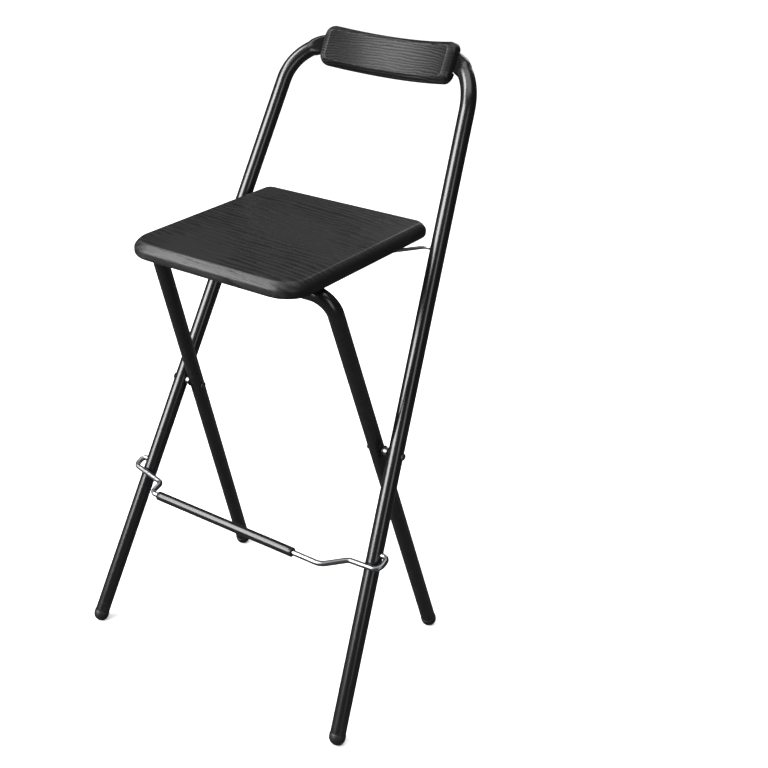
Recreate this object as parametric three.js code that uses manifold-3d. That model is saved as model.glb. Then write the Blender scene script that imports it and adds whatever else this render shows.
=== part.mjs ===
// Folding bar stool: two crossed tube frames, a wooden seat, a curved wooden
// backrest, a swinging footrest and a wire link under the seat.
// Millimetres. +Z is up, the sitter faces -Y, +X is the right side seen from the front.
import * as THREE from 'three';
import { mergeVertices } from 'three/addons/utils/BufferGeometryUtils.js';
import Module from 'manifold-3d';

const wasm = await Module();
wasm.setup();

// Frame tube
const tubeRadius = 11;
const tubeWall = 1.5;

// Back frame: the two front legs that run up to the backrest
const backLean = THREE.MathUtils.degToRad(24.79);
const backFootX = 222.6;
const backFootY = -156;
const backTaper = 0.08105;        // narrowing of each leg per millimetre of its length
const backCornerUp = 934;         // height of the top corners along the leg
const backBend = 76;              // centreline radius of the top bends
const bowAngle = THREE.MathUtils.degToRad(29);   // how far the top bar sweeps back at its ends
const bowEvenHalf = 60;           // half the width over which the bow has one radius
const flatThick = 14;             // the top bar is pressed flat behind the board
const flatTall = 27;
const flatReach = 106;            // half the pressed length
const flatRunout = 26;

// Seat frame: the two rear legs that run up to the front of the seat
const seatLean = THREE.MathUtils.degToRad(22.04);
const seatFootX = 183.6;
const seatTaper = 0.06078;
const seatBend = 30;

// Main pivot, along each back leg from the foot
const pivotUp = 392.9;
const rivetRadius = 3.7;
const rivetHeadRadius = 7.5;
const rivetHeadHeight = 4;
const spacerRadius = 7.6;
const washerRadius = 9;
const washerThick = 1;

// Foot caps
const capLip = 0.6;
const capRim = 5;
const capPlug = 22;
const capFlatRadius = 5.5;
const capRibStep = 7;
const capRibDepth = 0.5;

// Seat
const seatHeight = 650;
const seatThick = 22;
const seatHalfWidth = 140;
const seatFront = -166;
const seatRear = 154;
const seatFrontCorner = 40;
const seatRearCorner = 18;
const seatTopRound = 8;
const seatUnderRound = 2.5;

// Seat hinge: saddle clips round the top bar of the seat frame
const hingeClipX = 78;
const hingeClipWidth = 20;
const hingeClipThick = 1.6;
const hingeClipFlange = 15;

// Wire link from the back legs to the underside of the seat
const linkRadius = 2.5;
const seatFoldedTilt = THREE.MathUtils.degToRad(4);   // folded seat off the plane of the frames
const linkDrop = 5.9;             // its holes in the back legs, below the underside of the seat
const linkBend = 7;
const linkHalfBar = 92;           // half the bar under the seat
const linkStub = 8;
const linkOpenGap = 1;            // the wire stops this far short of each leg
const linkClipX = 58;
const linkClipWidth = 13;
const linkClipThick = 1.2;
const linkClipFlange = 10;

// Backrest board
const boardMid = 926.5;           // along the leg
const boardTall = 58;
const boardThick = 19;
const boardHalfChord = 111.7;
const boardBackRadius = 235;
const boardCorner = 15;
const boardChannelRoom = 1.2;     // round the bar, in the channels across the board's back
const boardFrontRound = 7;
const boardBackRound = 2.5;

// Footrest
const footrestUp = 256.5;         // its holes, along each back leg from the foot
const footrestWire = 3;
const footrestOutX = 221.5;       // side arms, outside the legs
const footrestCross = 20.5;       // holes to the part that lies across the legs
const footrestInX = 166;
const footrestReach = 53.5;       // holes to the bar
const footrestBend = 7;
const footrestStub = 9;           // length inside the leg
const sleeveRadius = 5.75;
const sleeveLength = 246;
const sleeveOffset = -25;         // the sleeve lies off the middle
const sleeveRound = 0.75;

// Screws
const screwHeadRadius = 4.2;
const screwHeadHeight = 2.4;
const screwRadius = 1.9;
const screwBite = 13;             // length in the wood
const screwTip = 3.8;             // length of the taper at its end
const screwTipShare = 0.4;        // width of the end
const boardScrewX = 60;
const boardScrewBite = 12;

// Gaps
const gap = 0.3;                  // between pieces that touch
const running = 0.5;              // between pieces that turn on each other
const overcut = 4;                // how far a cutter runs past the face it cuts

// Facets
const tubeSides = 18;
const boreSides = 14;
const wireSides = 10;
const roundSides = 16;
const holeSides = 12;
const screwSides = 10;
const clipSteps = 8;
const bendSteps = 8;
const wireBendSteps = 4;
const bowSteps = 8;
const curlSteps = 3;
const roundSteps = 4;
const headSteps = 3;
const cornerSteps = 6;
const capSteps = 5;
const boardSteps = 20;
const boardEdgeSteps = 4;

// Derived sizes
const boreRadius = tubeRadius - tubeWall;
const capRadius = tubeRadius + capLip;
const footZ = Math.sqrt(capRadius ** 2 - capFlatRadius ** 2);
const seatUnder = seatHeight - seatThick;
const hingeZ = seatUnder - tubeRadius - running;
const seatCornerUp = (hingeZ - footZ) / Math.cos(seatLean);
const linkUp = (seatUnder - linkDrop - footZ) / Math.cos(backLean);   // along each back leg
const crossGap = tubeRadius + footrestWire + gap;

const vec = (x, y, z) => new THREE.Vector3(x, y, z);

// The two frames are drawn upright and then leaned into place
const backPlace = new THREE.Matrix4().makeRotationX(-backLean).setPosition(0, backFootY, footZ);
const backLegX = (up) => backFootX - backTaper * up;
const seatLegX = (up) => seatFootX - seatTaper * up;
const onBack = (x, y, up) => vec(x, y, up).applyMatrix4(backPlace);

// Both frames pass through the main pivot
const pivotSpot = onBack(0, 0, pivotUp);
const pivotUpSeat = (pivotSpot.z - footZ) / Math.cos(seatLean);
const seatFootY = pivotSpot.y + pivotUpSeat * Math.sin(seatLean);
const seatPlace = new THREE.Matrix4().makeRotationX(seatLean).setPosition(0, seatFootY, footZ);
const hingeY = seatFootY - seatCornerUp * Math.sin(seatLean);

// Solids in and out of the boolean library
function toSolid(geometry) {
  const plain = geometry.clone();
  plain.deleteAttribute('normal');
  plain.deleteAttribute('uv');
  const merged = mergeVertices(plain, 1e-4);
  const mesh = new wasm.Mesh({
    numProp: 3,
    vertProperties: new Float32Array(merged.attributes.position.array),
    triVerts: new Uint32Array(merged.index.array),
  });
  return new wasm.Manifold(mesh);
}

function toGeometry(solid) {
  const mesh = solid.getMesh();
  const geometry = new THREE.BufferGeometry();
  geometry.setAttribute('position', new THREE.BufferAttribute(mesh.vertProperties.slice(), 3));
  geometry.setIndex(new THREE.BufferAttribute(mesh.triVerts.slice(), 1));
  return geometry;
}

function cut(geometry, cutters) {
  let solid = toSolid(geometry);
  for (const cutter of cutters) {
    solid = solid.subtract(toSolid(cutter));
  }
  return toGeometry(solid);
}

// A path that is straight between given points and keeps them as its only stations
class StationPath extends THREE.Curve {
  constructor(points) {
    super();
    this.points = points;
  }

  station(t) {
    return Math.min(Math.round(t * (this.points.length - 1)), this.points.length - 1);
  }

  getPoint(t) {
    return this.points[this.station(t)].clone();
  }

  getPointAt(t) {
    return this.getPoint(t);
  }

  getTangentAt(t) {
    const at = this.station(t);
    const here = this.points[at];
    const before = this.points[Math.max(at - 1, 0)];
    const after = this.points[Math.min(at + 1, this.points.length - 1)];
    const arriving = here.clone().sub(before).normalize();
    const leaving = after.clone().sub(here).normalize();
    return arriving.add(leaving).normalize();
  }
}

// Stations round one corner, tangent to both of its sides
function cornerArc(before, corner, after, radius, steps) {
  const toBefore = before.clone().sub(corner).normalize();
  const toAfter = after.clone().sub(corner).normalize();
  const half = toBefore.angleTo(toAfter) / 2;
  const inward = toBefore.clone().add(toAfter).normalize();
  const centre = corner.clone().addScaledVector(inward, radius / Math.sin(half));
  const start = corner.clone().addScaledVector(toBefore, radius / Math.tan(half)).sub(centre);
  const turn = Math.PI - 2 * half;
  const turnAxis = toAfter.clone().cross(toBefore).normalize().negate();
  const points = [];
  for (let i = 0; i <= steps; i++) {
    const spoke = start.clone().applyAxisAngle(turnAxis, -turn * i / steps);
    points.push(centre.clone().add(spoke));
  }
  return points;
}

function bentPath(corners, radius, steps) {
  const points = [corners[0]];
  for (let i = 1; i < corners.length - 1; i++) {
    points.push(...cornerArc(corners[i - 1], corners[i], corners[i + 1], radius, steps));
  }
  points.push(corners[corners.length - 1]);
  return points;
}

function circleShape(radius, sides) {
  const shape = new THREE.Shape();
  for (let i = 0; i < sides; i++) {
    const turn = (2 * Math.PI * i) / sides;
    const x = radius * Math.cos(turn);
    const y = radius * Math.sin(turn);
    if (i === 0) {
      shape.moveTo(x, y);
    } else {
      shape.lineTo(x, y);
    }
  }
  return shape;
}

function sweep(shape, points) {
  const path = new StationPath(points);
  const steps = points.length - 1;
  return new THREE.ExtrudeGeometry(shape, { steps, extrudePath: path, bevelEnabled: false });
}

function rod(points, radius, sides) {
  return sweep(circleShape(radius, sides), points);
}

// The same path with both ends drawn out, for a bore that runs through
function drawnOut(points, extra) {
  const out = points.map((point) => point.clone());
  const last = out.length - 1;
  const head = points[0].clone().sub(points[1]).normalize();
  const tail = points[last].clone().sub(points[last - 1]).normalize();
  out[0].addScaledVector(head, extra);
  out[last].addScaledVector(tail, extra);
  return out;
}

// A cylinder from one point to another
function pin(from, to, radius, sides) {
  const length = from.distanceTo(to);
  const geometry = new THREE.CylinderGeometry(radius, radius, length, sides);
  const turn = new THREE.Quaternion();
  turn.setFromUnitVectors(vec(0, 1, 0), to.clone().sub(from).normalize());
  geometry.applyQuaternion(turn);
  const middle = from.clone().add(to).divideScalar(2);
  geometry.translate(middle.x, middle.y, middle.z);
  return geometry;
}

// A turned piece: profile points are [radius, height], stood on a point and turned to an axis
function turned(profile, at, axis, facets = roundSides) {
  const points = profile.map(([radius, height]) => new THREE.Vector2(radius, height));
  const geometry = new THREE.LatheGeometry(points, facets);
  const turn = new THREE.Quaternion().setFromUnitVectors(vec(0, 1, 0), axis.clone().normalize());
  geometry.applyQuaternion(turn);
  geometry.translate(at.x, at.y, at.z);
  return geometry;
}

const group = new THREE.Group();
group.name = 'folding_bar_stool';

const looks = {
  enamel: { color: 0x131314, roughness: 0.32, metalness: 0.0 },
  wood: { color: 0x2b2827, roughness: 0.42, metalness: 0.0 },
  zinc: { color: 0xb9bcc0, roughness: 0.35, metalness: 0.9 },
  dullZinc: { color: 0x77797d, roughness: 0.45, metalness: 0.85 },
  rubber: { color: 0x101011, roughness: 0.7, metalness: 0.0 },
};

function add(name, geometry, look) {
  const mesh = new THREE.Mesh(geometry, new THREE.MeshStandardMaterial({ ...looks[look] }));
  mesh.name = name;
  group.add(mesh);
}

const sides = [['left', -1], ['right', 1]];
const ends = [['front', -1], ['rear', 1]];

// Back frame

// Half of the bowed top bar runs from the bend's end to the middle
const backCorner = vec(backLegX(backCornerUp), 0, backCornerUp);
const backFoot = vec(backLegX(capRim + gap), 0, capRim + gap);
const bowStart = vec(-Math.cos(bowAngle), Math.sin(bowAngle), 0);
const toBackFoot = backFoot.clone().sub(backCorner);
const backHalfTurn = toBackFoot.angleTo(bowStart) / 2;
const backBendEnd = backCorner.clone().addScaledVector(bowStart, backBend / Math.tan(backHalfTurn));

// The bar is bowed with the board in the middle and curls in more tightly on the way
// to the bends
const bowRadius = boardBackRadius + gap + flatThick / 2;
const evenTurn = Math.asin(bowEvenHalf / bowRadius);
const curlRadius = (backBendEnd.x - bowEvenHalf) / (Math.sin(bowAngle) - Math.sin(evenTurn));
const evenEndY = backBendEnd.y + curlRadius * (Math.cos(evenTurn) - Math.cos(bowAngle));
const bowCentreY = evenEndY - bowRadius * Math.cos(evenTurn);
const screwTurn = Math.asin(boardScrewX / bowRadius);

function backFramePath() {
  const right = [backFoot];
  right.push(...cornerArc(backFoot, backCorner, backBendEnd, backBend, bendSteps));
  for (let i = 1; i <= curlSteps; i++) {
    const turn = THREE.MathUtils.lerp(bowAngle, evenTurn, i / curlSteps);
    const x = bowEvenHalf + curlRadius * (Math.sin(turn) - Math.sin(evenTurn));
    const y = evenEndY - curlRadius * (Math.cos(evenTurn) - Math.cos(turn));
    right.push(vec(x, y, backCornerUp));
  }
  const middle = [];
  for (let i = 1; i < bowSteps; i++) {
    const turn = evenTurn * (1 - (2 * i) / bowSteps);
    middle.push(vec(bowRadius * Math.sin(turn), bowCentreY + bowRadius * Math.cos(turn), backCornerUp));
  }
  const left = right.map((point) => vec(-point.x, point.y, point.z)).reverse();
  return [...right, ...middle, ...left];
}

// Press the middle of the top bar flat: each ring of the tube is made thinner across
// and taller along the legs
function pressFlat(geometry, points) {
  const path = new StationPath(points);
  const last = points.length - 1;
  const spots = geometry.attributes.position;
  for (let i = 0; i < spots.count; i++) {
    const spot = new THREE.Vector3().fromBufferAttribute(spots, i);
    let nearest = 0;
    for (let at = 1; at <= last; at++) {
      if (points[at].distanceTo(spot) < points[nearest].distanceTo(spot)) {
        nearest = at;
      }
    }
    const centre = points[nearest];
    const left = flatReach + flatRunout - Math.abs(centre.x);
    const pressed = THREE.MathUtils.smoothstep(left, 0, flatRunout);
    const inPress = centre.z > backCornerUp - flatRunout ? pressed : 0;
    const thin = THREE.MathUtils.lerp(1, flatThick / (2 * tubeRadius), inPress);
    const tall = THREE.MathUtils.lerp(1, flatTall / (2 * tubeRadius), inPress);
    const tangent = path.getTangentAt(nearest / last);
    const across = tangent.clone().cross(vec(0, 0, 1)).normalize();
    const upward = across.clone().cross(tangent);
    const offset = spot.sub(centre);
    const pressedSpot = centre.clone()
      .addScaledVector(across, offset.dot(across) * thin)
      .addScaledVector(upward, offset.dot(upward) * tall);
    spots.setXYZ(i, pressedSpot.x, pressedSpot.y, pressedSpot.z);
  }
  return geometry;
}

// A point on the line of one board screw, measured outward from the bar's centreline
function onBoardScrew(side, outward) {
  const reach = bowRadius + outward;
  const x = side * reach * Math.sin(screwTurn);
  return vec(x, bowCentreY + reach * Math.cos(screwTurn), backCornerUp);
}

function backFrame() {
  const path = backFramePath();
  const outside = pressFlat(rod(path, tubeRadius, tubeSides), path);
  const borePath = drawnOut(path, overcut);
  const bore = pressFlat(rod(borePath, boreRadius, boreSides), borePath);
  const cutters = [bore];
  for (const [, side] of sides) {
    const pivot = vec(side * backLegX(pivotUp), 0, pivotUp);
    const past = vec(tubeRadius + overcut, 0, 0);
    const pivotHole = rivetRadius + gap;
    cutters.push(pin(pivot.clone().sub(past), pivot.clone().add(past), pivotHole, holeSides));
    const footrest = vec(side * backLegX(footrestUp), 0, footrestUp);
    const footrestOut = footrest.clone().addScaledVector(past, side);
    cutters.push(pin(footrest, footrestOut, footrestWire + gap, holeSides));
    const link = vec(side * backLegX(linkUp), 0, linkUp);
    const linkIn = link.clone().addScaledVector(past, -side);
    cutters.push(pin(link, linkIn, linkRadius + running, holeSides));
    const screwOut = onBoardScrew(side, flatThick);
    const screwIn = onBoardScrew(side, -flatThick);
    cutters.push(pin(screwIn, screwOut, screwRadius + gap, screwSides));
  }
  return cut(outside, cutters).applyMatrix4(backPlace);
}

// Half the height of the board at a distance from its middle: square in the
// middle, round at the corners
function boardHalfTall(along) {
  const into = Math.max(Math.abs(along) - (boardHalfLength - boardCorner), 0);
  return boardTall / 2 - boardCorner + Math.sqrt(Math.max(boardCorner ** 2 - into ** 2, 0));
}

const boardMidRadius = boardBackRadius - boardThick / 2;
const boardHalfTurn = Math.asin(boardHalfChord / boardBackRadius);
const boardHalfLength = boardHalfTurn * boardMidRadius;

// Cross-section of the board, front face at +x
function boardSection() {
  const half = boardThick / 2;
  const tall = boardTall / 2;
  const shape = new THREE.Shape();
  shape.moveTo(-half + boardBackRound, -tall);
  shape.lineTo(half - boardFrontRound, -tall);
  shape.quadraticCurveTo(half, -tall, half, -tall + boardFrontRound);
  shape.lineTo(half, tall - boardFrontRound);
  shape.quadraticCurveTo(half, tall, half - boardFrontRound, tall);
  shape.lineTo(-half + boardBackRound, tall);
  shape.quadraticCurveTo(-half, tall, -half, tall - boardBackRound);
  shape.lineTo(-half, -tall + boardBackRound);
  shape.quadraticCurveTo(-half, -tall, -half + boardBackRound, -tall);
  return shape;
}

// The board is milled away where the bar comes forward out of its bow. The cutter
// follows the bar: its front face clears the bar and it runs out at the board's back.
function boardChannel() {
  const points = backFramePath().filter((point) => point.z > backCornerUp - backBend / 2);
  const last = points.length - 1;
  const path = new StationPath(points);
  const geometry = new THREE.BoxGeometry(1, 1, 1, last, 1, 1);
  const spots = geometry.attributes.position;
  const front = flatThick / 2 + boardChannelRoom;
  const half = flatTall / 2 + boardChannelRoom;
  for (let i = 0; i < spots.count; i++) {
    const at = Math.round((spots.getX(i) + 1 / 2) * last);
    const tangent = path.getTangentAt(at / last);
    const rearward = vec(0, 0, 1).cross(tangent).normalize();
    const upward = tangent.clone().cross(rearward);
    const depth = spots.getY(i) < 0 ? boardThick : -front;
    const height = spots.getZ(i) < 0 ? -half : half;
    const spot = points[at].clone().addScaledVector(rearward, -depth).addScaledVector(upward, height);
    spots.setXYZ(i, spot.x, spot.y, spot.z);
  }
  return geometry;
}

function backrestBoard() {
  const geometry = new THREE.ExtrudeGeometry(boardSection(), {
    depth: 1,
    steps: boardSteps,
    curveSegments: boardEdgeSteps,
    bevelEnabled: false,
  });
  const spots = geometry.attributes.position;
  for (let i = 0; i < spots.count; i++) {
    const along = boardHalfLength * Math.cos(spots.getZ(i) * Math.PI);
    const into = Math.max(Math.abs(along) - (boardHalfLength - boardFrontRound), 0);
    const lost = boardFrontRound - Math.sqrt(Math.max(boardFrontRound ** 2 - into ** 2, 0));
    const fromBack = (spots.getX(i) + boardThick / 2) * (1 - lost / boardThick);
    const radius = boardBackRadius - fromBack;
    const turn = along / boardMidRadius;
    const tall = spots.getY(i) * boardHalfTall(along) / (boardTall / 2);
    spots.setXYZ(i, radius * Math.sin(turn), bowCentreY + radius * Math.cos(turn), boardMid + tall);
  }
  const cutters = [boardChannel()];
  for (const [, side] of sides) {
    const mouth = onBoardScrew(side, 0);
    const bottom = onBoardScrew(side, -flatThick / 2 - gap - boardScrewBite - overcut / 2);
    cutters.push(pin(bottom, mouth, screwRadius + gap, screwSides));
  }
  return cut(geometry, cutters).applyMatrix4(backPlace);
}

// A screw whose head seats with its flat side at the given spot, shank running along the axis
function screw(spot, axis, bite) {
  const profile = [[0, bite], [screwRadius * screwTipShare, bite], [screwRadius, bite - screwTip]];
  profile.push([screwRadius, -gap], [screwHeadRadius, -gap]);
  for (let i = 1; i <= headSteps; i++) {
    const turn = (i / headSteps) * Math.PI / 2;
    const radius = i === headSteps ? 0 : screwHeadRadius * Math.cos(turn);
    profile.push([radius, -gap - screwHeadHeight * Math.sin(turn)]);
  }
  return turned(profile.reverse(), spot, axis, screwSides);
}

function rivet(side) {
  const back = backLegX(pivotUp);
  const front = seatLegX(pivotUpSeat);
  const tilt = rivetHeadRadius * backTaper;
  const outFace = back + tubeRadius + tilt + gap;
  const inFace = front - tubeRadius - tilt - gap;
  const profile = [[0, inFace - rivetHeadHeight]];
  for (let i = 1; i <= roundSteps; i++) {
    const turn = (i / roundSteps) * Math.PI / 2;
    profile.push([rivetHeadRadius * Math.sin(turn), inFace - rivetHeadHeight * Math.cos(turn)]);
  }
  profile.push([rivetRadius, inFace], [rivetRadius, outFace]);
  for (let i = roundSteps; i >= 1; i--) {
    const turn = (i / roundSteps) * Math.PI / 2;
    profile.push([rivetHeadRadius * Math.sin(turn), outFace + rivetHeadHeight * Math.cos(turn)]);
  }
  profile.push([0, outFace + rivetHeadHeight]);
  const centre = onBack(0, 0, pivotUp);
  return turned(profile, centre, vec(side, 0, 0));
}

// A ring round the rivet, between two distances from the middle of the stool
function ring(side, near, far, outer, inner) {
  const profile = [[inner, near], [outer, near], [outer, far], [inner, far], [inner, near]];
  return turned(profile, onBack(0, 0, pivotUp), vec(side, 0, 0));
}

const washerNear = seatLegX(pivotUpSeat) + tubeRadius + washerRadius * seatTaper + gap;
const washerFar = washerNear + washerThick;
const spacerNear = washerFar + gap;
const spacerFar = backLegX(pivotUp) - tubeRadius - spacerRadius * backTaper - gap;

// Foot cap: a dome with a flat that stands on the floor, a rim and a ribbed plug in the tube
function footCap(legX, taper, place, side) {
  const plug = boreRadius - gap;
  const profile = [];
  for (let i = 0; i <= capSteps; i++) {
    const turn = (i / capSteps) * Math.PI / 2;
    profile.push([capRadius * Math.sin(turn), -capRadius * Math.cos(turn)]);
  }
  profile[0][0] = 0;
  profile.push([capRadius, capRim - capLip], [capRadius - capLip, capRim], [plug, capRim]);
  for (let up = capRim + capRibStep; up <= capRim + capPlug - capRibStep; up += capRibStep) {
    profile.push([plug, up], [plug - capRibDepth, up + capRibDepth], [plug, up + 2 * capRibDepth]);
  }
  profile.push([plug, capRim + capPlug - capRibDepth], [plug - 2 * capRibDepth, capRim + capPlug]);
  profile.push([0, capRim + capPlug]);
  const along = vec(-side * taper, 0, 1);
  const cap = turned(profile, vec(side * legX(0), 0, 0), along).applyMatrix4(place);
  const floor = new THREE.BoxGeometry(4 * capRadius, 4 * capRadius, 2 * capRadius);
  const foot = vec(side * legX(0), 0, 0).applyMatrix4(place);
  floor.translate(foot.x, foot.y, -capRadius);
  return cut(cap, [floor]);
}

// Seat frame

function seatFramePath() {
  const footUp = capRim + gap;
  const corner = vec(seatLegX(seatCornerUp), 0, seatCornerUp);
  const foot = vec(seatLegX(footUp), 0, footUp);
  const mirrored = (point) => vec(-point.x, point.y, point.z);
  return bentPath([foot, corner, mirrored(corner), mirrored(foot)], seatBend, bendSteps);
}

function seatFrame() {
  const path = seatFramePath();
  const cutters = [rod(drawnOut(path, overcut), boreRadius, boreSides)];
  for (const [, side] of sides) {
    const pivot = vec(side * seatLegX(pivotUpSeat), 0, pivotUpSeat);
    const past = vec(tubeRadius + overcut, 0, 0);
    const pivotHole = rivetRadius + gap;
    cutters.push(pin(pivot.clone().sub(past), pivot.clone().add(past), pivotHole, holeSides));
  }
  return cut(rod(path, tubeRadius, tubeSides), cutters).applyMatrix4(seatPlace);
}

// The link. Its holes in the back legs and its bar under the seat must be the same
// distance apart with the stool open and with it folded, when both frames lie in one
// plane and the seat leans on them. That condition gives the place of the bar.
const linkHole = onBack(0, 0, linkUp);
const linkSeatZ = seatUnder - linkRadius - running;
const foldedHinge = pivotUp + (seatCornerUp - pivotUpSeat);

function linkBarBehindHinge() {
  const openY = hingeY - linkHole.y;
  const openZ = linkSeatZ - linkHole.z;
  const foldedUp = foldedHinge - linkUp;
  const barOut = linkSeatZ - hingeZ;
  const tipped = 2 * foldedUp * barOut * Math.sin(seatFoldedTilt);
  const difference = foldedUp ** 2 + barOut ** 2 - tipped - openY ** 2 - openZ ** 2;
  return difference / (2 * (openY - foldedUp * Math.cos(seatFoldedTilt)));
}

const linkSeat = vec(0, hingeY + linkBarBehindHinge(), linkSeatZ);

// Seat board, round corners, a large rounding on top and a small one below

function seatPlan() {
  const wide = seatHalfWidth;
  const shape = new THREE.Shape();
  const quarter = Math.PI / 2;
  const frontX = wide - seatFrontCorner;
  const frontY = seatFront + seatFrontCorner;
  const rearX = wide - seatRearCorner;
  const rearY = seatRear - seatRearCorner;
  shape.moveTo(-frontX, seatFront);
  shape.lineTo(frontX, seatFront);
  shape.absarc(frontX, frontY, seatFrontCorner, -quarter, 0);
  shape.absarc(rearX, rearY, seatRearCorner, 0, quarter);
  shape.absarc(-rearX, rearY, seatRearCorner, quarter, 2 * quarter);
  shape.absarc(-frontX, frontY, seatFrontCorner, 2 * quarter, 3 * quarter);
  return shape;
}

function roundedSlab(low, high, round) {
  const geometry = new THREE.ExtrudeGeometry(seatPlan(), {
    depth: high - low - 2 * round,
    bevelThickness: round,
    bevelSize: round,
    bevelOffset: -round,
    bevelSegments: roundSteps,
    curveSegments: cornerSteps,
  });
  geometry.translate(0, 0, low + round);
  return geometry;
}

// Where the screws of the clips sit, by name
const hingeScrewOut = tubeRadius + running + hingeClipThick + hingeClipFlange / 2;
const linkScrewOut = linkRadius + running + linkClipThick + linkClipFlange / 2;
const hingeScrewSeat = seatUnder - gap - hingeClipThick;
const linkScrewSeat = seatUnder - gap - linkClipThick;

function clipScrewSpots() {
  const spots = [];
  for (const [label, side] of sides) {
    for (const [end, way] of ends) {
      const y = hingeY + way * hingeScrewOut;
      spots.push([`hinge_clip_screw_${label}_${end}`, vec(side * hingeClipX, y, hingeScrewSeat)]);
    }
  }
  for (const [label, side] of sides) {
    for (const [end, way] of ends) {
      const y = linkSeat.y + way * linkScrewOut;
      spots.push([`link_clip_screw_${label}_${end}`, vec(side * linkClipX, y, linkScrewSeat)]);
    }
  }
  return spots;
}

function seatBoard() {
  const top = toSolid(roundedSlab(seatUnder - seatThick, seatHeight, seatTopRound));
  const under = toSolid(roundedSlab(seatUnder, seatHeight + seatThick, seatUnderRound));
  let solid = top.intersect(under);
  for (const [, spot] of clipScrewSpots()) {
    const mouth = vec(spot.x, spot.y, seatUnder - overcut);
    const bottom = vec(spot.x, spot.y, spot.z + screwBite + overcut / 2);
    solid = solid.subtract(toSolid(pin(mouth, bottom, screwRadius + gap, screwSides)));
  }
  return toGeometry(solid);
}

// A saddle clip: a strip that hangs round a bar, with a screwed flange on either side
function saddleClip(centre, barRadius, thick, flange, width) {
  const inner = barRadius + running;
  const outer = inner + thick;
  const top = seatUnder - gap - centre.z;
  const reach = outer + flange;
  const shape = new THREE.Shape();
  shape.moveTo(-reach, top);
  shape.lineTo(-reach, top - thick);
  shape.lineTo(-outer, top - thick);
  shape.lineTo(-outer, 0);
  shape.absarc(0, 0, outer, Math.PI, 2 * Math.PI);
  shape.lineTo(outer, top - thick);
  shape.lineTo(reach, top - thick);
  shape.lineTo(reach, top);
  shape.lineTo(inner, top);
  shape.lineTo(inner, 0);
  shape.absarc(0, 0, inner, 0, -Math.PI, true);
  shape.lineTo(-inner, top);
  const geometry = new THREE.ExtrudeGeometry(shape, {
    depth: width,
    curveSegments: clipSteps,
    bevelEnabled: false,
  });
  geometry.translate(0, 0, -width / 2);
  const place = new THREE.Matrix4().makeBasis(vec(0, 1, 0), vec(0, 0, 1), vec(1, 0, 0));
  place.setPosition(centre);
  geometry.applyMatrix4(place);
  const cutters = [];
  for (const [, way] of ends) {
    const hole = vec(centre.x, centre.y + way * (outer + flange / 2), centre.z + top);
    const drop = vec(0, 0, thick + overcut);
    cutters.push(pin(hole.clone().sub(drop), hole.clone().add(drop), screwRadius + gap, screwSides));
  }
  return cut(geometry, cutters);
}

// The wire link under the seat

function linkWire() {
  const right = [];
  const wireEnd = backLegX(linkUp) - tubeRadius - linkOpenGap;
  right.push(vec(wireEnd, linkHole.y, linkHole.z));
  right.push(vec(wireEnd - linkStub, linkHole.y, linkHole.z));
  right.push(vec(linkHalfBar, linkSeat.y, linkSeat.z));
  const left = right.map((point) => vec(-point.x, point.y, point.z)).reverse();
  return rod(bentPath([...right, ...left], linkBend, wireBendSteps), linkRadius, wireSides);
}

// Footrest, drawn in its own plane (x across, y along its side arms) and then turned
// down until its cross pieces lie on the fronts of the legs

const footrestHole = onBack(0, 0, footrestUp);
const footrestRest = Math.asin(crossGap / footrestCross);
const footrestDip = Math.PI / 2 - backLean - footrestRest;
const footrestDown = vec(0, -Math.cos(footrestDip), -Math.sin(footrestDip));

function onFootrest(x, along) {
  return footrestHole.clone().add(vec(x, 0, 0)).addScaledVector(footrestDown, along);
}

function footrest() {
  const right = [
    onFootrest(backLegX(footrestUp) + tubeRadius - footrestStub, 0),
    onFootrest(footrestOutX, 0),
    onFootrest(footrestOutX, footrestCross),
    onFootrest(footrestInX, footrestCross),
    onFootrest(footrestInX, footrestReach),
  ];
  const left = right.map((point) => vec(-point.x, point.y, point.z)).reverse();
  return rod(bentPath([...right, ...left], footrestBend, wireBendSteps), footrestWire, wireSides);
}

function footrestSleeve() {
  const from = sleeveOffset - sleeveLength / 2;
  const to = sleeveOffset + sleeveLength / 2;
  const inner = footrestWire + running;
  const profile = [
    [inner, from],
    [sleeveRadius - sleeveRound, from],
    [sleeveRadius, from + sleeveRound],
    [sleeveRadius, to - sleeveRound],
    [sleeveRadius - sleeveRound, to],
    [inner, to],
    [inner, from],
  ];
  return turned(profile, onFootrest(0, footrestReach), vec(1, 0, 0));
}

add('back_frame', backFrame(), 'enamel');
add('backrest_board', backrestBoard(), 'wood');
for (const [label, side] of sides) {
  const spot = onBoardScrew(side, flatThick / 2).applyMatrix4(backPlace);
  const inside = onBoardScrew(side, 0).applyMatrix4(backPlace);
  const axis = inside.clone().sub(spot);
  const bite = flatThick + gap + boardScrewBite;
  add(`backrest_screw_${label}`, screw(spot, axis, bite), 'zinc');
}
for (const [label, side] of sides) {
  add(`front_foot_cap_${label}`, footCap(backLegX, backTaper, backPlace, side), 'rubber');
  add(`pivot_rivet_${label}`, rivet(side), 'zinc');
  const bore = rivetRadius + gap;
  add(`pivot_spacer_${label}`, ring(side, spacerNear, spacerFar, spacerRadius, bore), 'zinc');
  add(`pivot_washer_${label}`, ring(side, washerNear, washerFar, washerRadius, bore), 'rubber');
}
add('seat_frame', seatFrame(), 'enamel');
for (const [label, side] of sides) {
  add(`rear_foot_cap_${label}`, footCap(seatLegX, seatTaper, seatPlace, side), 'rubber');
}
add('seat_board', seatBoard(), 'wood');
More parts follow.
